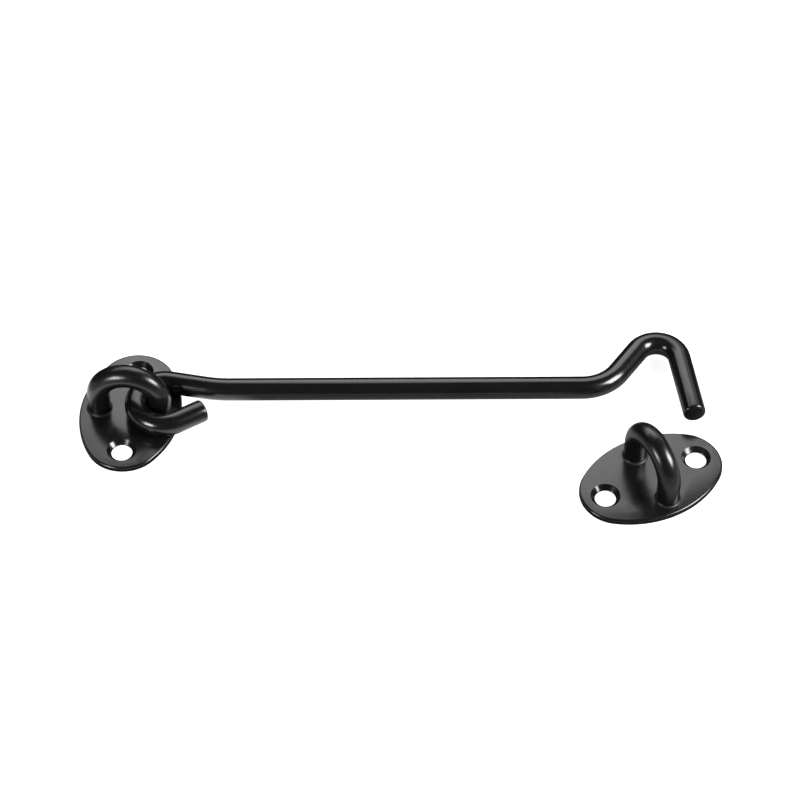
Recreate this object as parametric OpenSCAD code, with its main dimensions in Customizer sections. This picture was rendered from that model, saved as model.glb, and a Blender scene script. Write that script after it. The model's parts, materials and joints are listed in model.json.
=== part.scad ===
// Hook latch: a bent wire hook held by a staple plate, and the keeper plate that it hooks into.
// Both plates lie flat at z = 0. X runs from the hook plate towards the keeper, Y along the hook
// plate, and the origin is the middle of the hook plate's back face. All sizes are millimetres.

/* [Hook wire] */
// Diameter of the hook's round wire
hook_d = 6; // [4:0.1:8]
// Radial room between the loop and the staple leg inside it
loop_slack = 1.4; // [0.8:0.05:2.5]
// Angle that the loop turns through round the leg
loop_turn = 222; // [190:0.5:240]
// Length of the tail that sticks out past the loop
tail_len = 7.9; // [3:0.1:10]
// Angle at which the neck slopes from the loop to the shank
neck_angle = 11.5; // [5:0.5:18]
// Straight length of the neck
neck_len = 9; // [6:0.5:20]
// Bend radius between neck and shank, at the wire's middle
neck_r = 36; // [6:0.5:60]
// Straight length of the shank
shank_len = 93; // [60:0.5:160]

/* [Crook] */
// Angle by which the wire rises out of the shank
rise_angle = 55; // [45:1:65]
// Bend radius where the wire rises, at the wire's middle
rise_r = 12; // [9:0.5:18]
// Straight length of the rise
rise_len = 9.7; // [5:0.1:16]
// Angle by which the wire turns over at the peak
peak_turn = 137; // [125:1:145]
// Bend radius at the peak, at the wire's middle
peak_r = 6.1; // [5.5:0.1:9]
// Straight length of the tip
tip_len = 20.1; // [12:0.1:28]

/* [Wire ends] */
// Rounding of the hook wire's two cut ends
end_r = 0.8; // [0.3:0.05:1.5]

/* [Plates] */
// Length of each oval plate
plate_len = 40; // [38:0.5:60]
// Width of each oval plate
plate_w = 26.8; // [24.5:0.2:34]
// Radius of the outline at both ends of a plate
plate_end_r = 10.2; // [8:0.1:11.5]
// Thickness of a plate
plate_t = 1.5; // [1.4:0.1:3]
// Rounding of a plate's upper rim
rim_r = 0.6; // [0.2:0.05:0.9]

/* [Screw holes] */
// Distance between the two screw holes of a plate
screw_pitch = 27.4; // [24:0.2:29]
// Diameter of a screw hole
screw_d = 5.5; // [3.5:0.1:6]
// Diameter of a countersink at the plate's face
sink_d = 7.7; // [6.8:0.1:8]

/* [Staples] */
// Diameter of the staples' round wire
staple_d = 6; // [4:0.1:7]
// Width inside a staple, from leg to leg
eye_w = 10.4; // [9.5:0.1:12]
// Height inside a staple, above its plate
eye_h = 10.6; // [9:0.1:16]
// Radius of the small fillet of coating round a leg's foot
foot_r = 0.7; // [0.2:0.05:0.8]
// Diameter of the riveted head that holds a leg, at the plate's back
rivet_d = 7.8; // [7.3:0.1:8.5]

/* [Places] */
// Angle of the shank from the X axis, as the hook lies at rest
rest_swing = 6.8; // [0:0.05:40]
// Direction in which the loop hangs off the leg, from the shank
lean_dir = 28; // [0:1:90]
// Turn of the keeper plate's length from the X axis
keeper_turn = 34.4; // [0:0.1:60]
// Keeper's middle from the tip's end, along X
keeper_dx = -10.2; // [-16:0.1:-4]
// Keeper's middle from the tip's end, along Y
keeper_dy = -19.7; // [-40:0.1:-16]

/* [Clearances] */
// Gap between the hook and what it lies on or hangs from
seat_gap = 0.3; // [0.15:0.05:0.6]
// Gap between a staple leg and its hole
leg_gap = 0.05; // [0.02:0.01:0.1]
// Depth of a riveted head below the plate's back
rivet_inset = 0.1; // [0.05:0.05:0.2]

/* [Hidden] */
$fn = 96;
cut = 0.5;

// Where two runs meet edge to edge, one stands this little proud, so that they join as one solid
proud = 0.01;
end_proud = 0.05;
collar_w = 0.2;

coat = "#1c1d1f";
coat_light = "#2b2c2f";

// Oval outline of four arcs: the side arcs run smoothly into the end arcs
end_x = plate_len / 2 - plate_end_r;
side_drop = (end_x * end_x - pow(plate_w / 2 - plate_end_r, 2)) / (plate_w - 2 * plate_end_r);
side_r = plate_w / 2 + side_drop;
join_x = end_x + plate_end_r * end_x / (side_r - plate_end_r);

// Staple: two straight legs joined by a half circle
leg_x = (eye_w + staple_d) / 2;
arch_z = plate_t + eye_h - eye_w / 2;
sink_depth = (sink_d - screw_d) / 2;
rivet_depth = (rivet_d - staple_d) / 2;

// Hook: the loop hangs off the leg until only the seat gap is left
rod_z = plate_t + seat_gap + hook_d / 2;
loop_r = staple_d / 2 + loop_slack + hook_d / 2;
lean = loop_slack - seat_gap;

// End of the tip, followed along the wire from the loop's middle with the shank along X
function ray(length, heading) = length * [cos(heading), sin(heading)];
tip_heading = rise_angle - peak_turn;
loop_exit = ray(loop_r, 90 - neck_angle);
neck_end = loop_exit + ray(neck_len, -neck_angle);
shank_start = neck_end + ray(neck_r, 90 - neck_angle) + ray(neck_r, -90);
shank_end = shank_start + ray(shank_len, 0);
rise_start = shank_end + ray(rise_r, 90) + ray(rise_r, rise_angle - 90);
rise_end = rise_start + ray(rise_len, rise_angle);
tip_start = rise_end + ray(peak_r, rise_angle - 90) + ray(peak_r, tip_heading + 90);
tip_end = tip_start + ray(tip_len, tip_heading);
reach = ray(lean, lean_dir) + tip_end;
tip_at = [leg_x, 0] + reach.x * ray(1, rest_swing) + reach.y * ray(1, rest_swing + 90);
keeper_at = tip_at + [keeper_dx, keeper_dy];

// Half section of a disc whose upper rim is rounded, from the middle out
module disc_section(radius, height, rounding) {
    square([radius - rounding, height]);
    square([radius, height - rounding]);
    translate([radius - rounding, height - rounding])
        circle(rounding);
}

// Flat disc with a rounded upper rim
module rounded_disc(radius) {
    rotate_extrude()
        disc_section(radius, plate_t, rim_r);
}

// Middle of a plate, where two large discs overlap
module plate_middle() {
    intersection() {
        translate([0, side_drop, 0])
            rounded_disc(side_r);
        translate([0, -side_drop, 0])
            rounded_disc(side_r);
        translate([-join_x, -plate_w, -cut])
            cube([2 * join_x, 2 * plate_w, plate_t + 2 * cut]);
    }
}

// Countersunk screw hole, drawn as what it cuts away
module screw_hole() {
    translate([0, 0, -cut])
        cylinder(d = screw_d, h = plate_t + 2 * cut);
    translate([0, 0, plate_t - sink_depth])
        cylinder(d1 = screw_d, d2 = sink_d + 2 * cut, h = sink_depth + cut);
}

// Hole for a staple leg, opened out at the back for the riveted head
module leg_hole() {
    translate([0, 0, -cut])
        cylinder(d = staple_d + 2 * leg_gap, h = plate_t + 2 * cut);
    translate([0, 0, -cut])
        cylinder(d1 = rivet_d + 2 * leg_gap + 2 * cut, d2 = staple_d + 2 * leg_gap, h = rivet_depth + cut);
}

// Oval plate with its length along X, two screw holes and two leg holes
module oval_plate() {
    difference() {
        union() {
            plate_middle();
            for (side = [-1, 1])
                translate([side * end_x, 0, 0])
                    rounded_disc(plate_end_r + end_proud);
        }
        for (side = [-1, 1]) {
            translate([side * screw_pitch / 2, 0, 0])
                screw_hole();
            translate([0, side * leg_x, 0])
                leg_hole();
        }
    }
}

// Staple leg from the riveted head up to the arch, standing on z = 0
module staple_leg() {
    translate([0, 0, rivet_inset])
        cylinder(d = staple_d, h = arch_z - rivet_inset);
    translate([0, 0, rivet_inset])
        cylinder(d1 = rivet_d - 2 * rivet_inset, d2 = staple_d, h = rivet_depth - rivet_inset);
    translate([0, 0, plate_t])
        rotate_extrude()
            foot_section();
}

// Half section of the hollow fillet between a leg and the plate
module foot_section() {
    difference() {
        square([staple_d / 2 + foot_r, foot_r]);
        translate([staple_d / 2 + foot_r, foot_r])
            circle(foot_r);
    }
}

// Staple across the plate, with its legs along Y
module staple() {
    for (side = [-1, 1])
        translate([0, side * leg_x, 0])
            staple_leg();
    translate([0, 0, arch_z])
        rotate([90, 0, 90])
            rotate_extrude(angle = 180)
                translate([leg_x, 0])
                    circle(d = staple_d);
}

// Collar round the wire where two runs meet
module collar() {
    rotate([0, 90, 0])
        cylinder(d = hook_d + 2 * proud, h = collar_w, center = true);
}

// Straight run of hook wire along X; what follows starts at its end
module straight(length) {
    rotate([0, 90, 0])
        cylinder(d = hook_d, h = length);
    translate([length, 0, 0])
        children();
}

// Bend in the hook wire, to the left for a positive turn; what follows starts at its end
module bend(radius, turn) {
    side = sign(turn);
    translate([0, side * radius, 0]) {
        rotate([0, 0, side > 0 ? -90 : 90 + turn])
            rotate_extrude(angle = abs(turn))
                translate([radius, 0])
                    circle(d = hook_d);
        rotate([0, 0, turn])
            translate([0, -side * radius, 0]) {
                collar();
                children();
            }
    }
    collar();
}

// Last straight run, with the rim of its cut end rounded
module free_end(length) {
    rotate([0, 90, 0])
        rotate_extrude()
            disc_section(hook_d / 2, length, end_r);
}

// Hook with the loop's middle at the origin and the shank along X
module hook() {
    translate([loop_exit.x, loop_exit.y, 0])
        rotate([0, 0, -neck_angle])
            straight(neck_len)
                bend(neck_r, neck_angle)
                    straight(shank_len)
                        bend(rise_r, rise_angle)
                            straight(rise_len)
                                bend(peak_r, -peak_turn)
                                    free_end(tip_len);
    rotate([0, 0, -neck_angle])
        translate([0, loop_r, 0])
            rotate([0, 0, 180])
                bend(loop_r, loop_turn)
                    free_end(tail_len);
}

module hook_plate() {
    color(coat_light)
        rotate([0, 0, 90])
            oval_plate();
}

module hook_staple() {
    color(coat)
        rotate([0, 0, 90])
            staple();
}

module hook_rod() {
    color(coat)
        translate([leg_x, 0, rod_z])
            rotate([0, 0, rest_swing])
                translate([lean * cos(lean_dir), lean * sin(lean_dir), 0])
                    hook();
}

module keeper_plate() {
    color(coat_light)
        translate([keeper_at.x, keeper_at.y, 0])
            rotate([0, 0, keeper_turn])
                oval_plate();
}

module keeper_staple() {
    color(coat)
        translate([keeper_at.x, keeper_at.y, 0])
            rotate([0, 0, keeper_turn])
                staple();
}

hook_plate();
hook_staple();
hook_rod();
keeper_plate();
keeper_staple();
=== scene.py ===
# %% [markdown]
# # A black hook latch
#
# The object is a bent wire hook. Its loop hangs round one leg of a staple, and the staple is
# riveted into an oval plate. A second plate with a staple of its own, the keeper, lies beside
# the hook's tip. Every surface has the same thin black coat, satin rather than shiny.
#
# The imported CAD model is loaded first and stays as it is. Each piece below is modelled again
# with more detail, rides on the CAD body that it belongs to, and stands for its CAD node.

import json
import math

import bmesh
import bpy
from mathutils import Matrix, Vector

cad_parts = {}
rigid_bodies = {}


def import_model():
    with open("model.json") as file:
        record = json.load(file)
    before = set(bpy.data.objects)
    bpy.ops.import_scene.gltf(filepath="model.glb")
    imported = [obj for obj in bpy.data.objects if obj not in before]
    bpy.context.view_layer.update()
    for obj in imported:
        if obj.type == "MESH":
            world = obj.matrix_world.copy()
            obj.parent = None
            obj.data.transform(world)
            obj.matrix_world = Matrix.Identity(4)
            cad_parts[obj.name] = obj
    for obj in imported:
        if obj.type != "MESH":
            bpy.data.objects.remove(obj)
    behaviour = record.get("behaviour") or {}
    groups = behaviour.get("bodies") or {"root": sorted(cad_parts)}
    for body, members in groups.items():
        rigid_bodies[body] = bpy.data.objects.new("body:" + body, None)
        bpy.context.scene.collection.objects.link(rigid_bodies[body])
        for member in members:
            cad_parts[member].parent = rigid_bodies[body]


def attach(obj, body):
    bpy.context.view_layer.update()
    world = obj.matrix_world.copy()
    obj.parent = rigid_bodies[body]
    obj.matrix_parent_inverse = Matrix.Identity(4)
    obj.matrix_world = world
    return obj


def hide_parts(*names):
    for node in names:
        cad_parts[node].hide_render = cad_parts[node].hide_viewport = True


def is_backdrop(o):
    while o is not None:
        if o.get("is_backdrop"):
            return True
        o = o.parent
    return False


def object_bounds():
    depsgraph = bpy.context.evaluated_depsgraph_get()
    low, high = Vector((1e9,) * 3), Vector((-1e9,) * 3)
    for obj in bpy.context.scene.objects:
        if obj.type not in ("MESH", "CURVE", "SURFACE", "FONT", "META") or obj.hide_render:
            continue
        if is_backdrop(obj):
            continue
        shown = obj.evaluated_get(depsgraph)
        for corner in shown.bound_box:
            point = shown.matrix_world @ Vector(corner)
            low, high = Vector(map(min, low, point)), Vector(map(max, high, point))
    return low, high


MM = 0.001


def in_mm(values, digits=2):
    """Lengths in metres, rounded in millimetres for a printed line."""
    return [round(value / MM, digits) for value in values]


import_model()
for leftover in [o for o in bpy.context.scene.objects if o.name in ("Cube", "Light", "Camera")]:
    bpy.data.objects.remove(leftover)
cad_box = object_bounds()

# %% [markdown]
# ## The camera
#
# The photograph looks down on the latch at 49 degrees, a little from the right, through a long
# lens. A camera could be aimed with a constraint, but a turn worked out once from two points
# is plainer. The lens and the distance together set how much the far end shrinks.

# %% Place the camera
CAMERA_AT = Vector((0.12944, -0.51334, 0.60946))
CAMERA_LOOKS_AT = Vector((0.07031, 0.01286, 0.0))
CAMERA_LENS = 136.6
SENSOR_WIDTH = 36.0
CLIP_NEAR, CLIP_FAR = 0.02, 30.0
camera_data = bpy.data.cameras.new("photo_camera")
camera_data.lens = CAMERA_LENS
camera_data.sensor_width = SENSOR_WIDTH
camera_data.clip_start, camera_data.clip_end = CLIP_NEAR, CLIP_FAR
camera = bpy.data.objects.new("photo_camera", camera_data)
bpy.context.scene.collection.objects.link(camera)
camera.location = CAMERA_AT
camera.rotation_euler = (CAMERA_LOOKS_AT - CAMERA_AT).to_track_quat("-Z", "Y").to_euler()
bpy.context.scene.camera = camera
bpy.context.scene.view_settings.view_transform = "Standard"
print("camera to latch", round((CAMERA_LOOKS_AT - CAMERA_AT).length, 3), "m")

# %% [markdown]
# ## The floor
#
# The latch lies on a white table. A plane is enough. Its paint takes the light and the soft
# shadows as any matt white does, and a glow of its own lifts it to a clean white for the
# camera. The glow is hidden from diffuse light, so it puts no extra light on the latch.
#
# These helpers fill a node tree: an empty one, a sum or product of two values, a ramp from
# one value to another, and a value that depends on which kind of ray asks for it.


# %% Helpers for node trees
def new_material(name):
    """A material with an empty node tree and an output."""
    made = bpy.data.materials.new(name)
    made.use_nodes = True
    made.node_tree.nodes.clear()
    output = made.node_tree.nodes.new("ShaderNodeOutputMaterial")
    return made, made.node_tree.nodes, made.node_tree.links, output


def feed(links, socket, value):
    """Gives a socket a plain number, or links it to another node's output."""
    if isinstance(value, float):
        socket.default_value = value
    else:
        links.new(value, socket)


def joined(nodes, links, operation, first, second):
    """Two values added or multiplied."""
    made = nodes.new("ShaderNodeMath")
    made.operation = operation
    feed(links, made.inputs[0], first)
    feed(links, made.inputs[1], second)
    return made.outputs["Value"]


def ramp(nodes, links, value, between, result, smooth=False):
    """A value between two numbers turned into a result between two others."""
    made = nodes.new("ShaderNodeMapRange")
    made.interpolation_type = "SMOOTHSTEP" if smooth else "LINEAR"
    made.inputs["From Min"].default_value, made.inputs["From Max"].default_value = between
    made.inputs["To Min"].default_value, made.inputs["To Max"].default_value = result
    links.new(value, made.inputs["Value"])
    return made.outputs["Result"]


def by_ray(nodes, links, seen, mirrored, diffuse):
    """One value for camera rays, one for glossy and transmission rays, and one for the rest."""
    path = nodes.new("ShaderNodeLightPath")
    value = diffuse
    for ray_kind, strength in (
            ("Is Glossy Ray", mirrored), ("Is Transmission Ray", mirrored),
            ("Is Camera Ray", seen)):
        choice = nodes.new("ShaderNodeMix")
        choice.data_type = "FLOAT"
        links.new(path.outputs[ray_kind], choice.inputs["Factor"])
        feed(links, choice.inputs["A"], value)
        feed(links, choice.inputs["B"], strength)
        value = choice.outputs["Result"]
    return value


print("helpers ready")

# %% [markdown]
# The black coat mirrors part of the table's glow. In the photograph it mirrors a pool of
# light in front of the latch and hardly anything behind it, and the table is brightest just
# beside each plate. So the glow that a mirror sees depends on the place on the table: full up
# to a line along the latch, faint beyond it, with a brighter ring round each plate that
# fades at the plate's edge, where little light gets in. The pool is measured in metres. A
# ring is measured outwards from its plate's middle, and 1 is the plate's own edge.

# %% Set out the painted pool of light
# The pool of light that the coat mirrors is painted into the table's glow: full in front of the latch,
# faint behind it.
TABLE_MIRRORED = 0.29
TABLE_SHADOWED = 0.1
POOL_EDGE = (0.010, 0.024)
POOL_SLOPE = 0.119
BEYOND_POOL = 0.06
# Round each plate a ring of painted light is added to that glow, dipping into painted shade at the
# plate's edge.
RING_INSIDE = (1.08, 1.32)
RING_OUTSIDE = (1.9, 2.6)
PAINTED_SHADE_AT_EDGE = -0.36
HOOK_RING_PAINTED_LIGHT = 1.25
KEEPER_RING_PAINTED_LIGHT = 0.2
HALF_PLATE = (0.0134, 0.020, 1.0)
KEEPER_AT = Vector((0.138184, -0.0072547, 0.0))
KEEPER_TURN = 34.4 - 90.0
table_paint, nodes, links, output = new_material("table_white")
place = nodes.new("ShaderNodeNewGeometry").outputs["Position"]
across_pool = nodes.new("ShaderNodeVectorMath")
across_pool.operation = "DOT_PRODUCT"
across_pool.inputs[1].default_value = (-POOL_SLOPE, 1.0, 0.0)
links.new(place, across_pool.inputs[0])
painted_pool = ramp(
    nodes, links, across_pool.outputs["Value"], POOL_EDGE, (1.0, BEYOND_POOL), smooth=True)


def painted_ring_round(nodes, links, place, centre, turn, glow):
    """The painted glow on the table round a plate, with painted shade at the plate's edge; the plate
    lies turned about its centre.
    """
    laid = nodes.new("ShaderNodeMapping")
    laid.vector_type = "TEXTURE"
    laid.inputs["Location"].default_value = centre
    laid.inputs["Rotation"].default_value = (0.0, 0.0, math.radians(turn))
    laid.inputs["Scale"].default_value = HALF_PLATE
    links.new(place, laid.inputs["Vector"])
    reach = nodes.new("ShaderNodeVectorMath")
    reach.operation = "LENGTH"
    links.new(laid.outputs["Vector"], reach.inputs[0])
    distance = reach.outputs["Value"]
    inside = ramp(nodes, links, distance, RING_INSIDE, (PAINTED_SHADE_AT_EDGE, glow), smooth=True)
    outside = ramp(nodes, links, distance, RING_OUTSIDE, (1.0, 0.0), smooth=True)
    return joined(nodes, links, "MULTIPLY", inside, outside)


hook_painted_ring = painted_ring_round(nodes, links, place, (0.0, 0.0, 0.0), 0.0, HOOK_RING_PAINTED_LIGHT)
keeper_painted_ring = painted_ring_round(nodes, links, place, KEEPER_AT, KEEPER_TURN, KEEPER_RING_PAINTED_LIGHT)
rings = joined(nodes, links, "ADD", hook_painted_ring, keeper_painted_ring)
ringed = joined(nodes, links, "ADD", rings, TABLE_MIRRORED)
# What the coat mirrors of the table's glow and paint is cut to the painted pool, and the glow is lifted
# by the painted rings.
glow_mirrored = joined(nodes, links, "MULTIPLY", painted_pool, ringed)
paint_mirrored = joined(nodes, links, "MULTIPLY", painted_pool, TABLE_SHADOWED)
print("nodes on the table so far", len(nodes))

# %% Make the table
TABLE_WHITE = 0.5
TABLE_SEEN = 0.90
TABLE_SIZE = 6.0
TABLE_Z = -0.0001
matt = nodes.new("ShaderNodeBsdfDiffuse")
links.new(by_ray(nodes, links, TABLE_WHITE, paint_mirrored, TABLE_WHITE), matt.inputs["Color"])
glow = nodes.new("ShaderNodeEmission")
links.new(by_ray(nodes, links, TABLE_SEEN, glow_mirrored, 0.0), glow.inputs["Strength"])
both = nodes.new("ShaderNodeAddShader")
links.new(matt.outputs["BSDF"], both.inputs[0])
links.new(glow.outputs["Emission"], both.inputs[1])
links.new(both.outputs["Shader"], output.inputs["Surface"])

bpy.ops.mesh.primitive_plane_add(
    size=TABLE_SIZE, location=(CAMERA_LOOKS_AT.x, CAMERA_LOOKS_AT.y, TABLE_Z))
table = bpy.context.object
table.name = "table"
table.data.materials.append(table_paint)
table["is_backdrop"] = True
print("table", table.dimensions.x, "m square")

# %% [markdown]
# ## The light
#
# What a black coat shows is mostly what it mirrors. The photograph gives a wide grey band
# along the far side of every wire, a black front, and small bright spots on the bends. So a
# soft box hangs low behind the latch, turned a little. Two dimmer boxes spread its light
# sideways, for the plates. Two smaller and much brighter lamps face the latch, one from in
# front on the left and one from the right. Point lamps would make the same spots too small
# and too sharp, so all five are area lamps.


# %% Hang the lamps
def area_lamp(name, at, across, up, width, height, brightness):
    """A soft box whose sides run across and up.

    Its brightness is how it looks beside a white of 1.
    """
    data = bpy.data.lights.new(name, "AREA")
    data.shape = "RECTANGLE"
    data.size, data.size_y = width, height
    data.energy = brightness * math.pi * width * height
    lamp = bpy.data.objects.new(name, data)
    bpy.context.scene.collection.objects.link(lamp)
    x = Vector(across).normalized()
    z = x.cross(Vector(up)).normalized()
    turn = Matrix((x, z.cross(x), z)).transposed()
    lamp.matrix_world = Matrix.Translation(at) @ turn.to_4x4()
    lamp.visible_camera = False
    print(name, "power", round(data.energy, 2), "W, shines along", [round(v, 2) for v in -z])


def facing_lamp(name, at, width, height, brightness):
    """A soft box that faces the latch, with its width level."""
    away = Vector(at) - CAMERA_LOOKS_AT
    across = Vector((0.0, 0.0, 1.0)).cross(away)
    area_lamp(name, at, across, away.cross(across), width, height, brightness)


area_lamp(
    "soft_box", at=(0.025, 0.326, 0.276), across=(-0.553, 0.825, -0.114),
    up=(-0.821, -0.517, 0.241), width=0.382, height=0.233, brightness=2.5)
area_lamp(
    "wide_box", at=(0.09, 0.49, 0.30), across=(1.0, 0.0, 0.0),
    up=(0.0, 1.0, 0.0), width=0.78, height=0.54, brightness=1.0)
area_lamp(
    "left_box", at=(-0.15, 0.21, 0.28), across=(1.0, 0.0, 0.0),
    up=(0.0, 1.0, 0.0), width=0.22, height=0.18, brightness=1.8)
facing_lamp(
    "left_lamp", at=(-0.135, -0.215, 0.128), width=0.11, height=0.09, brightness=21.0)
facing_lamp(
    "right_lamp", at=(0.45, -0.05, 0.255), width=0.19, height=0.21, brightness=27.0)

# %% [markdown]
# The world is the rest of the room. The camera sees it white, as it sees the table. The coat
# mirrors it dim, and dimmest on the far side, and it fills the shadows a little.

# %% Shade the room
ROOM_SEEN = 1.0
ROOM_MIRRORED = 0.08
ROOM_FAR = 0.02
ROOM_FILL = 0.25
ROOM_FADE = (-0.2, 0.3)
world = bpy.data.worlds.new("room")
bpy.context.scene.world = world
world.use_nodes = True
nodes, links = world.node_tree.nodes, world.node_tree.links
nodes.clear()
output = nodes.new("ShaderNodeOutputWorld")
sky = nodes.new("ShaderNodeBackground")
towards = nodes.new("ShaderNodeSeparateXYZ")
links.new(nodes.new("ShaderNodeTexCoord").outputs["Generated"], towards.inputs["Vector"])
mirrored = ramp(nodes, links, towards.outputs["Y"], ROOM_FADE, (ROOM_MIRRORED, ROOM_FAR))
links.new(by_ray(nodes, links, ROOM_SEEN, mirrored, ROOM_FILL), sky.inputs["Strength"])
links.new(sky.outputs["Background"], output.inputs["Surface"])
print("room: seen", ROOM_SEEN, "mirrored", ROOM_MIRRORED, "fill", ROOM_FILL)

# %% [markdown]
# ## The coat
#
# The coat is black paint baked on to steel. It is smooth enough to mirror the soft box with
# an edge, and rough enough to blur it. Close up it has a fine grain and a slower ripple, as
# sprayed paint has, and it is a little duller in some places than in others. Noise on Object
# coordinates gives all three. One builder makes the three finishes. The staples are duller
# than the hook, and dullest at the foot, where the paint gathers. The plates have the most
# grain, as the photograph shows.

# %% Choose the paint's texture
# Each noise: how often it repeats in a metre, its detail, and its roughness.
SHADE_NOISE = (90.0, 3.0, 0.5)
DULLNESS_NOISE = (260.0, 4.0, 0.6)
RIPPLE_NOISE = (420.0, 2.0, 0.5)
GRAIN_NOISE = (2600.0, 2.0, 0.6)
NOISE_SPREAD = (0.3, 0.7)
# The tints of the darker and the lighter places, as shares of the coat's own black.
DARKER = (0.85, 0.86, 0.9)
LIGHTER = (1.2, 1.2, 1.22)
PAINT_IOR = 1.5
# Depths of relief, in metres.
RIPPLE_DEPTH = 0.000006
WIRE_GRAIN_DEPTH = 0.0000045
PLATE_GRAIN_DEPTH = 0.000011
# Heights between which a staple's foot turns dull, and how much roughness that adds.
FOOT_FADE = (0.0018, 0.0024)
FOOT_DULL = 0.18
print("the finest grain repeats about every", round(1000 / GRAIN_NOISE[0], 2), "mm")


# %% Mix the coat
def noise(nodes, links, where, scale, detail, roughness):
    """Noise that repeats about every 1 / scale metres."""
    made = nodes.new("ShaderNodeTexNoise")
    made.inputs["Scale"].default_value = scale
    made.inputs["Detail"].default_value = detail
    made.inputs["Roughness"].default_value = roughness
    links.new(where, made.inputs["Vector"])
    return made.outputs["Fac"]


def bumped(nodes, links, height, depth, before=None):
    """Bump whose relief is depth metres deep, laid over an earlier bump."""
    made = nodes.new("ShaderNodeBump")
    made.inputs["Strength"].default_value = 1.0
    made.inputs["Distance"].default_value = depth
    links.new(height, made.inputs["Height"])
    if before is not None:
        links.new(before, made.inputs["Normal"])
    return made.outputs["Normal"]


def dull_below(nodes, links, where, roughness):
    """The roughness, raised towards a staple's foot, where the paint gathers and dries duller."""
    height = nodes.new("ShaderNodeSeparateXYZ")
    links.new(where, height.inputs["Vector"])
    low = ramp(nodes, links, height.outputs["Z"], FOOT_FADE, (FOOT_DULL, 0.0))
    return joined(nodes, links, "ADD", roughness, low)


def coat(name, black, dull, grain, dull_foot=False):
    """Satin black paint: its darkness, its roughness from low to high, and its grain's depth."""
    made, nodes, links, output = new_material(name)
    where = nodes.new("ShaderNodeTexCoord").outputs["Object"]
    paint = nodes.new("ShaderNodeBsdfPrincipled")
    paint.inputs["IOR"].default_value = PAINT_IOR
    shade = nodes.new("ShaderNodeMix")
    shade.data_type = "RGBA"
    shade.inputs["A"].default_value = [black * share for share in DARKER] + [1.0]
    shade.inputs["B"].default_value = [black * share for share in LIGHTER] + [1.0]
    cloud = noise(nodes, links, where, *SHADE_NOISE)
    links.new(ramp(nodes, links, cloud, NOISE_SPREAD, (0.0, 1.0)), shade.inputs["Factor"])
    links.new(shade.outputs["Result"], paint.inputs["Base Color"])
    patch = noise(nodes, links, where, *DULLNESS_NOISE)
    dullness = ramp(nodes, links, patch, NOISE_SPREAD, dull)
    if dull_foot:
        dullness = dull_below(nodes, links, where, dullness)
    links.new(dullness, paint.inputs["Roughness"])
    slow = bumped(nodes, links, noise(nodes, links, where, *RIPPLE_NOISE), RIPPLE_DEPTH)
    fine = bumped(nodes, links, noise(nodes, links, where, *GRAIN_NOISE), grain, slow)
    links.new(fine, paint.inputs["Normal"])
    links.new(paint.outputs["BSDF"], output.inputs["Surface"])
    return made


hook_black = coat("hook_black", black=0.004, dull=(0.17, 0.23), grain=WIRE_GRAIN_DEPTH)
staple_black = coat(
    "staple_black", black=0.004, dull=(0.23, 0.30), grain=WIRE_GRAIN_DEPTH, dull_foot=True)
plate_black = coat("plate_black", black=0.005, dull=(0.17, 0.23), grain=PLATE_GRAIN_DEPTH)
print("finishes", hook_black.name, staple_black.name, plate_black.name)

# %% [markdown]
# ## Hands for the work
#
# The next pieces are all shaped the same way as at a bench: a profile is laid down, pushed
# along, and turned round a centre. These few helpers open what has just been laid down, pick
# points by their place, push or turn what is picked, make the keeper's copy of a piece, and
# finish it.

# %% Helpers for the mesh
RING = 48
MERGE = 0.000002
SMOOTH_UNDER = 35.0


def alone(obj):
    """Selects this object only, and makes it the active one."""
    if bpy.context.mode != "OBJECT":
        bpy.ops.object.mode_set(mode="OBJECT")
    bpy.ops.object.select_all(action="DESELECT")
    obj.select_set(True)
    bpy.context.view_layer.objects.active = obj


def opened(name):
    """The object just laid down, named, with its place applied, and open for editing."""
    obj = bpy.context.object
    obj.name = name
    bpy.ops.object.transform_apply(location=True, rotation=True, scale=True)
    bpy.ops.object.mode_set(mode="EDIT")
    bpy.ops.mesh.select_all(action="SELECT")
    return obj


def pick(obj, wanted, kind="VERT"):
    """Selects, in edit mode, the points, edges or faces for which wanted(element) is true."""
    bpy.ops.mesh.select_mode(type=kind)
    bpy.ops.mesh.select_all(action="DESELECT")
    shape = bmesh.from_edit_mesh(obj.data)
    found = {"VERT": shape.verts, "EDGE": shape.edges, "FACE": shape.faces}[kind]
    count = 0
    for element in found:
        if wanted(element):
            element.select_set(True)
            count += 1
    shape.select_flush_mode()
    bmesh.update_edit_mesh(obj.data)
    return count


def push(x=0.0, y=0.0, z=0.0):
    """Extrudes what is picked, by this much."""
    bpy.ops.mesh.extrude_region_move(TRANSFORM_OT_translate={"value": (x, y, z)})


def spin(turn, steps, centre, axis=(0.0, 0.0, 1.0)):
    """Spins what is picked by turn degrees, anticlockwise seen from the axis's tip.

    Blender counts the other way.
    """
    bpy.ops.mesh.spin(steps=steps, angle=-math.radians(turn), center=centre, axis=axis)


def climb(rings, x, y=0.0):
    """Pushes the open ring through a list of (height, radius) above the place x, y."""
    for (z_from, r_from), (z_to, r_to) in zip(rings, rings[1:]):
        push(z=z_to - z_from)
        grow = r_to / r_from
        bpy.ops.transform.resize(value=(grow, grow, 1.0), center_override=(x, y, z_to))


def keeper_copy(obj, name):
    """A copy of a piece with a mesh of its own, laid where the keeper lies."""
    made = obj.copy()
    made.data = obj.data.copy()
    made.name = name
    bpy.context.scene.collection.objects.link(made)
    turned = Matrix.Rotation(math.radians(KEEPER_TURN), 4, "Z")
    made.matrix_world = Matrix.Translation(KEEPER_AT) @ turned
    return made


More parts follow.
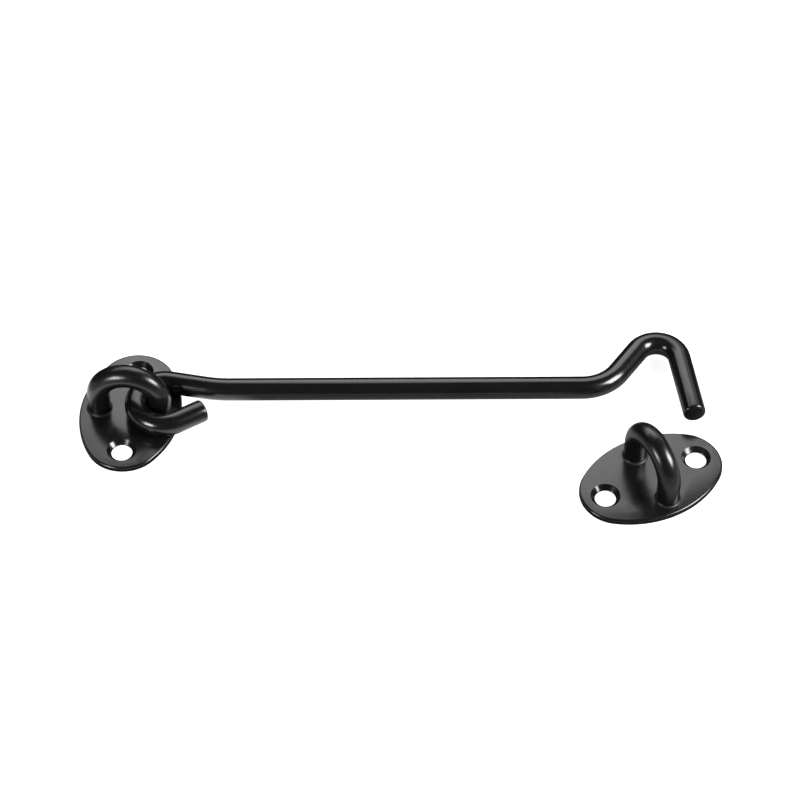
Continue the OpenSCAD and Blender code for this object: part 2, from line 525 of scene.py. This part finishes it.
def finish_piece(obj, material, body, node):
    """Normals, shading, material, the body that a piece rides on, and hiding the CAD node that it stands
    for.
    """
    alone(obj)
    bpy.ops.object.mode_set(mode="EDIT")
    bpy.ops.mesh.select_all(action="SELECT")
    bpy.ops.mesh.remove_doubles(threshold=MERGE)
    bpy.ops.mesh.normals_make_consistent(inside=False)
    bpy.ops.object.mode_set(mode="OBJECT")
    bpy.ops.object.transform_apply(location=True, rotation=True, scale=True)
    bpy.ops.object.shade_smooth_by_angle(angle=math.radians(SMOOTH_UNDER))
    obj.data.materials.clear()
    obj.data.materials.append(material)
    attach(obj, body)
    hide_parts(node)
    print(obj.name, "size", in_mm(obj.dimensions), "mm,", len(obj.data.polygons), "faces")


# %% [markdown]
# ## The hook
#
# The hook is one 6 mm wire, bent cold: a loop, a short neck, a long shank, a rise and a
# turned-over tip. A curve with a round bevel would do, but here the wire is made as on the
# bending bench. A ring is laid at the cut end of the tail, pushed straight, then spun round
# the centre of each bend in turn. That gives true arcs and a mesh of even rings.

# %% Sizes of the hook
WIRE_R = 3.0 * MM
LEG_X = 8.2 * MM
ROD_Z = 4.8 * MM
LOOP_R = 7.4 * MM
LOOP_TURN = 222.0
TAIL = 7.9 * MM
NECK_ANGLE = 11.5
NECK = 9.0 * MM
NECK_R = 36.0 * MM
SHANK = 93.0 * MM
RISE_ANGLE = 55.0
RISE_R = 12.0 * MM
RISE = 9.7 * MM
PEAK_TURN = 137.0
PEAK_R = 6.1 * MM
TIP = 20.1 * MM
REST_SWING = 6.8
LEAN = 1.1 * MM
LEAN_DIR = 28.0
print("straights", in_mm((TAIL, NECK, SHANK, RISE, TIP), 1), "mm from the tail to the tip")


# %% Bend the wire
def ray(length, heading):
    """A step of this length in the plane of the plates."""
    angle = math.radians(heading)
    return Vector((math.cos(angle), math.sin(angle), 0.0)) * length


heading = LOOP_TURN - NECK_ANGLE - 180.0
loop_end = ray(LOOP_R, heading - 90.0)
here = loop_end + ray(TAIL, heading)
heading += 180.0
bpy.ops.mesh.primitive_circle_add(
    vertices=RING, radius=WIRE_R, fill_type="NOTHING", location=here,
    rotation=(math.radians(90.0), 0.0, math.radians(heading + 90.0)))
hook = opened("wire_hook")


def run(length, steps):
    """Pushes the open ring straight along the wire."""
    global here
    for _ in range(steps):
        step = ray(length / steps, heading)
        push(*step)
        here = here + step


def bend(radius, turn, steps):
    """Spins the open ring round the centre of a bend, to the left for a positive turn."""
    global here, heading
    side = 1.0 if turn > 0 else -1.0
    centre = here + ray(radius, heading + 90.0 * side)
    spin(turn, steps, centre)
    heading += turn
    here = centre - ray(radius, heading + 90.0 * side)


run(TAIL, steps=2)
bend(LOOP_R, -LOOP_TURN, steps=60)
run(NECK, steps=2)
bend(NECK_R, NECK_ANGLE, steps=12)
run(SHANK, steps=8)
bend(RISE_R, RISE_ANGLE, steps=22)
run(RISE, steps=2)
bend(PEAK_R, -PEAK_TURN, steps=44)
run(TIP, steps=3)
print("the wire's tip ends at", in_mm(here), "heading", round(heading, 2))

# %% [markdown]
# The two ends are cropped square and tumbled, so their rims are round. Each open ring is
# filled, its rim is bevelled with several segments, and its middle is dished a little, as a
# cropped end is.

# %% Round the cut ends
END_ROUND, END_ROUND_STEPS = 0.8 * MM, 6
DISH_RIM = 0.25 * MM
DISH_SLOPE = 1.2 * MM
DISH_DEPTH = 0.04 * MM


def is_end(face):
    """Whether a face is the round one at a cut end."""
    return len(face.verts) == RING


pick(hook, lambda e: e.is_boundary, "EDGE")
bpy.ops.mesh.edge_face_add()
caps = pick(hook, is_end, "FACE")
bpy.ops.mesh.region_to_loop()
bpy.ops.mesh.bevel(offset=END_ROUND, segments=END_ROUND_STEPS, profile=0.5, affect="EDGES")
pick(hook, is_end, "FACE")
bpy.ops.mesh.inset(thickness=DISH_RIM, depth=0.0, use_individual=True)
pick(hook, is_end, "FACE")
bpy.ops.mesh.inset(thickness=DISH_SLOPE, depth=-DISH_DEPTH, use_individual=True)
bpy.ops.object.mode_set(mode="OBJECT")
print("ends rounded:", caps)

# %% [markdown]
# The wire was bent with its shank along X and its loop round the origin. Now it is hung on
# the staple's leg: it leans away until the loop touches, and it swings to where it lies.

# %% Hang the hook on its staple
hook.matrix_world = (
    Matrix.Translation((LEG_X, 0.0, ROD_Z))
    @ Matrix.Rotation(math.radians(REST_SWING), 4, "Z")
    @ Matrix.Translation(ray(LEAN, LEAN_DIR)))
finish_piece(hook, hook_black, "hook", "hook_rod")

# %% [markdown]
# ## The staples
#
# A staple is a shorter wire bent to a half circle with two straight legs. The legs pass
# through the plate and are riveted behind it. Where a leg meets the plate the coat gathers in
# a small hollow fillet, which catches a thin line of light. One staple is pushed and spun
# ring by ring from one riveted head to the other, and the keeper's is a copy of it.

# %% Sizes of a staple
PLATE_T = 1.5 * MM
ARCH_Z = 6.9 * MM
ARCH_STEPS = 48
SHOULDER_Z = 0.9 * MM
FOOT = 0.55 * MM
FOOT_STEPS = 6
FOOT_UNDER = 0.02 * MM
HEAD_R = 3.8 * MM
HEAD_Z = 0.1 * MM
HEAD_DISH = 0.06 * MM
HEAD_DISH_RIM = 1.6 * MM
# The riveted head's rounded edge: millimetres above its face, and inside its radius.
HEAD_EDGE = ((0.0, 0.35), (0.06, 0.14), (0.2, 0.2))
leg_rings = [(HEAD_Z + above * MM, HEAD_R - inside * MM) for above, inside in HEAD_EDGE]
leg_rings += [(SHOULDER_Z, WIRE_R), (PLATE_T - FOOT_UNDER, WIRE_R)]
for step in range(FOOT_STEPS + 1):
    a = math.radians(90.0 * step / FOOT_STEPS)
    leg_rings.append((PLATE_T + FOOT * (1 - math.cos(a)), WIRE_R + FOOT * (1 - math.sin(a))))
print("rings up a leg, height and radius in mm", [in_mm(ring) for ring in leg_rings])

# %% Bend a staple
bpy.ops.mesh.primitive_circle_add(
    vertices=RING, radius=leg_rings[0][1], fill_type="NGON", location=(LEG_X, 0.0, HEAD_Z))
staple = opened("hook_staple_wire")


def dish_head():
    """Sets the middle of the picked head in a little, as the riveting tool leaves it."""
    bpy.ops.mesh.inset(thickness=HEAD_DISH_RIM, depth=0.0)
    bpy.ops.transform.translate(value=(0.0, 0.0, HEAD_DISH))


dish_head()
pick(staple, lambda e: e.is_boundary, "EDGE")
climb(leg_rings, LEG_X)
leg_top = leg_rings[-1][0]
push(z=ARCH_Z - leg_top)
spin(180.0, ARCH_STEPS, (0.0, 0.0, ARCH_Z), (0.0, -1.0, 0.0))
push(z=leg_top - ARCH_Z)
climb(leg_rings[::-1], -LEG_X)
bpy.ops.mesh.edge_face_add()
dish_head()
bpy.ops.object.mode_set(mode="OBJECT")
print("staple", in_mm(staple.dimensions), "mm")

# %% [markdown]
# The keeper lies turned on the table, its staple facing the hook's tip. Its staple is the
# same wire, so it is copied with a mesh of its own, then turned and moved.

# %% Copy the staple for the keeper
keeper_staple = keeper_copy(staple, "keeper_staple_wire")
finish_piece(staple, staple_black, "hook_base", "hook_staple")
finish_piece(keeper_staple, staple_black, "keeper", "keeper_staple")

# %% [markdown]
# ## The plates
#
# A plate is an oval blank of four arcs, punched from sheet with a rounded upper rim, two
# countersunk screw holes and two holes for the legs. The outline could be a scaled circle,
# but four true arcs match the tool that punched it. Two arcs run into each other without a
# corner where the line through both their centres crosses them. One point is spun round four
# centres, the outline is filled and pushed up, the rim is bevelled, and turned cutters take
# out the holes.

# %% Sizes of a plate
PLATE_L = 40.0 * MM
PLATE_W = 26.8 * MM
END_R = 10.2 * MM
END_Y = PLATE_L / 2 - END_R
SIDE_DROP = (END_Y ** 2 - (PLATE_W / 2 - END_R) ** 2) / (PLATE_W - 2 * END_R)
SIDE_R = PLATE_W / 2 + SIDE_DROP
RIM, RIM_STEPS = 0.6 * MM, 6
LOWER_EDGE, LOWER_STEPS = 0.12 * MM, 2
SIDE_STEPS, END_STEPS = 40, 56
OUTLINE_MERGE = 0.005 * MM
side_half = math.degrees(math.atan2(END_Y, SIDE_DROP))
end_half = 90.0 - side_half
join = Vector((-SIDE_DROP, 0.0, 0.0)) + ray(SIDE_R, side_half)
print("side arcs", in_mm([SIDE_R]), "mm, centres", in_mm([SIDE_DROP]), "mm off the middle")
print("arcs meet at", in_mm(join), "half angles", round(side_half, 2), round(end_half, 2))

# %% Punch a blank
bpy.ops.mesh.primitive_plane_add(size=MM, location=(join.x, -join.y, 0.0))
plate = opened("hook_plate_sheet")
bpy.ops.mesh.select_mode(type="VERT")
bpy.ops.mesh.select_all(action="SELECT")
bpy.ops.mesh.merge(type="CENTER")
spin(2 * side_half, SIDE_STEPS, (-SIDE_DROP, 0.0, 0.0))
spin(2 * end_half, END_STEPS, (0.0, END_Y, 0.0))
spin(2 * side_half, SIDE_STEPS, (SIDE_DROP, 0.0, 0.0))
spin(2 * end_half, END_STEPS, (0.0, -END_Y, 0.0))
bpy.ops.mesh.select_all(action="SELECT")
bpy.ops.mesh.remove_doubles(threshold=OUTLINE_MERGE)
bpy.ops.mesh.select_all(action="SELECT")
bpy.ops.mesh.edge_face_add()
push(z=PLATE_T)
pick(plate, lambda e: all(v.co.z > PLATE_T / 2 for v in e.verts), "EDGE")
bpy.ops.mesh.bevel(offset=RIM, segments=RIM_STEPS, profile=0.5, affect="EDGES")
pick(plate, lambda e: all(v.co.z < PLATE_T / 2 for v in e.verts), "EDGE")
bpy.ops.mesh.bevel(offset=LOWER_EDGE, segments=LOWER_STEPS, profile=0.5, affect="EDGES")
bpy.ops.object.mode_set(mode="OBJECT")
print("blank", in_mm(plate.dimensions), "mm,", len(plate.data.polygons), "faces")


# %% [markdown]
# A countersink's lip is never sharp under paint. Each cutter is a turned shape: its profile
# is a row of rings from below the plate to above it, pushed out one after another. The screw
# hole's cutter flares a last time at the top, so that the lip is rounded.

# %% Sizes of the cutters
SCREW_Y = 13.7 * MM
SCREW_R = 2.75 * MM
SINK_R = 3.85 * MM
SINK_ANGLE = 45.0
BACK_CHAMFER = 0.1 * MM
BACK_CLEAR = 0.01 * MM
LEG_GAP = 0.05 * MM
CUT_PAST = 0.5 * MM
LIP_R = 0.192 * MM
LIP_STARTS_IN = 0.1 * MM
LIP_STARTS_DOWN = 0.11 * MM
LIP_ENDS_AT = 7.0
LIP_STEPS = 6
FLARE = 0.3 * MM
# Where the hole's wall turns into the countersink: millimetres above the corner, and outwards.
WALL_TO_SINK = ((-0.06, 0.0), (0.0, 0.02), (0.05, 0.08))
sink_foot = PLATE_T - (SINK_R - SCREW_R)
screw_hole = [
    (-CUT_PAST, SCREW_R + BACK_CHAMFER), (-BACK_CLEAR, SCREW_R + BACK_CHAMFER),
    (BACK_CHAMFER, SCREW_R)]
screw_hole += [(sink_foot + above * MM, SCREW_R + out * MM) for above, out in WALL_TO_SINK]
lip_from = math.radians(SINK_ANGLE)
for step in range(LIP_STEPS + 1):
    a = math.radians(SINK_ANGLE - (SINK_ANGLE - LIP_ENDS_AT) * step / LIP_STEPS)
    up = LIP_R * (math.cos(a) - math.cos(lip_from))
    out = LIP_R * (math.sin(lip_from) - math.sin(a))
    screw_hole.append((PLATE_T - LIP_STARTS_DOWN + up, SINK_R - LIP_STARTS_IN + out))
lip_z, lip_r = screw_hole[-1]
screw_hole.append((lip_z + FLARE, lip_r + FLARE))
leg_hole = [
    (-CUT_PAST, HEAD_R + LEG_GAP + CUT_PAST), (0.0, HEAD_R + LEG_GAP),
    (SHOULDER_Z, WIRE_R + LEG_GAP), (PLATE_T + CUT_PAST, WIRE_R + LEG_GAP)]
print("screw cutter, height and radius in mm", [in_mm(ring) for ring in screw_hole])

# %% Cut the holes
CUTTER_POINTS = 96


def turned_cutter(rings, x, y):
    """A closed turned solid at x, y from a list of (height, radius)."""
    bpy.ops.mesh.primitive_circle_add(
        vertices=CUTTER_POINTS, radius=rings[0][1], fill_type="NGON",
        location=(x, y, rings[0][0]))
    cutter = opened("cutter")
    pick(cutter, lambda e: e.is_boundary, "EDGE")
    climb(rings, x, y)
    bpy.ops.mesh.edge_face_add()
    bpy.ops.mesh.select_all(action="SELECT")
    bpy.ops.mesh.normals_make_consistent(inside=False)
    bpy.ops.object.mode_set(mode="OBJECT")
    return cutter


for rings, x, y in (
        (screw_hole, 0.0, SCREW_Y), (screw_hole, 0.0, -SCREW_Y),
        (leg_hole, LEG_X, 0.0), (leg_hole, -LEG_X, 0.0)):
    cutter = turned_cutter(rings, x, y)
    alone(plate)
    cut = plate.modifiers.new("cut", "BOOLEAN")
    cut.operation = "DIFFERENCE"
    cut.solver = "EXACT"
    cut.object = cutter
    bpy.ops.object.modifier_apply(modifier=cut.name)
    bpy.data.objects.remove(cutter)
print("plate with holes", len(plate.data.polygons), "faces")

# %% Copy the plate for the keeper
keeper_plate = keeper_copy(plate, "keeper_plate_sheet")
finish_piece(plate, plate_black, "hook_base", "hook_plate")
finish_piece(keeper_plate, plate_black, "keeper", "keeper_plate")

# %% [markdown]
# ## The size
#
# The dressed latch must stay as large as the CAD says. Both boxes are printed one after the other.

# %% Print both boxes
dressed_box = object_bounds()
sizes = {"cad": [list(corner) for corner in cad_box], "visual": [list(corner) for corner in dressed_box]}
for name, corners in sizes.items():
    print(name, "box in mm", [in_mm(corner) for corner in corners])
